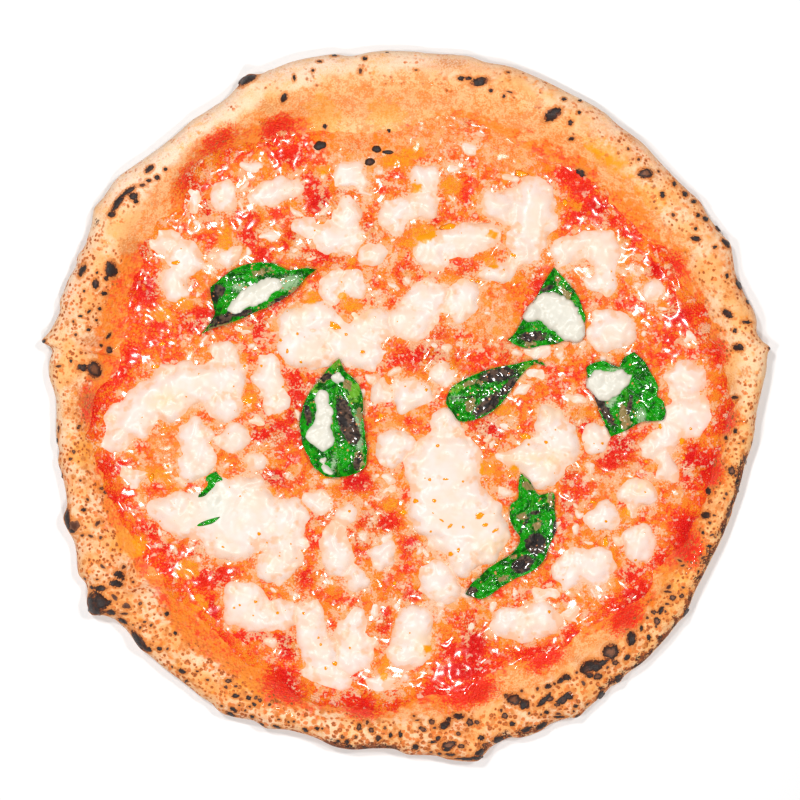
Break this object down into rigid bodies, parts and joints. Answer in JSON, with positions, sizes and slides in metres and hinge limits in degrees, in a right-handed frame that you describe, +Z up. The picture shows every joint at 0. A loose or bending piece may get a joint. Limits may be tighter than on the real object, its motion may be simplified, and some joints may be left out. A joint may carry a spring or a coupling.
{
  "type": "margherita pizza",
  "caption": "Whole baked margherita pizza: puffed, scorched rim, tomato, pools of melted mozzarella and basil leaves, resting flat on its underside.",
  "frame": {"origin": "on the flat underside, under the middle of the pizza's extent in plan", "axes": "+Z up through the toppings; X and Y in the plane of the table, with the pizza turned as it lies seen from above"},
  "size_m": [0.3202, 0.3138, 0.0182],
  "materials": {
    "crust": "baked dough, floury and matt, with scorched blisters",
    "tomato": "wet crushed tomato with oil",
    "mozzarella": "melted mozzarella, moist and smooth",
    "basil": "glossy wilted leaf with browned patches"
  },
  "bodies": {
    "root": {"dough": "crust", "tomato_sauce": "tomato", "basil_1": "basil", "basil_2": "basil", "basil_3": "basil", "basil_4": "basil", "basil_5": "basil", "basil_6": "basil", "basil_7": "basil", "mozzarella_01": "mozzarella", "mozzarella_02": "mozzarella", "mozzarella_03": "mozzarella", "mozzarella_04": "mozzarella", "mozzarella_05": "mozzarella", "mozzarella_06": "mozzarella", "mozzarella_07": "mozzarella", "mozzarella_08": "mozzarella", "mozzarella_09": "mozzarella", "mozzarella_10": "mozzarella", "mozzarella_11": "mozzarella", "mozzarella_12": "mozzarella", "mozzarella_13": "mozzarella", "mozzarella_14": "mozzarella", "mozzarella_15": "mozzarella", "mozzarella_16": "mozzarella", "mozzarella_17": "mozzarella", "mozzarella_18": "mozzarella", "mozzarella_19": "mozzarella", "mozzarella_20": "mozzarella", "mozzarella_21": "mozzarella", "mozzarella_22": "mozzarella", "mozzarella_23": "mozzarella", "mozzarella_24": "mozzarella", "mozzarella_25": "mozzarella", "mozzarella_26": "mozzarella", "mozzarella_27": "mozzarella", "mozzarella_28": "mozzarella", "mozzarella_29": "mozzarella", "mozzarella_30": "mozzarella", "mozzarella_31": "mozzarella", "mozzarella_32": "mozzarella", "mozzarella_33": "mozzarella", "mozzarella_34": "mozzarella", "mozzarella_35": "mozzarella", "mozzarella_36": "mozzarella", "mozzarella_37": "mozzarella", "mozzarella_38": "mozzarella", "mozzarella_39": "mozzarella", "mozzarella_40": "mozzarella", "mozzarella_41": "mozzarella", "mozzarella_42": "mozzarella", "mozzarella_43": "mozzarella", "mozzarella_44": "mozzarella", "mozzarella_45": "mozzarella", "mozzarella_46": "mozzarella", "mozzarella_47": "mozzarella", "mozzarella_on_basil_1": "mozzarella", "mozzarella_on_basil_2": "mozzarella", "mozzarella_on_basil_3": "mozzarella", "mozzarella_on_basil_4": "mozzarella"}
  },
  "joints": []
}
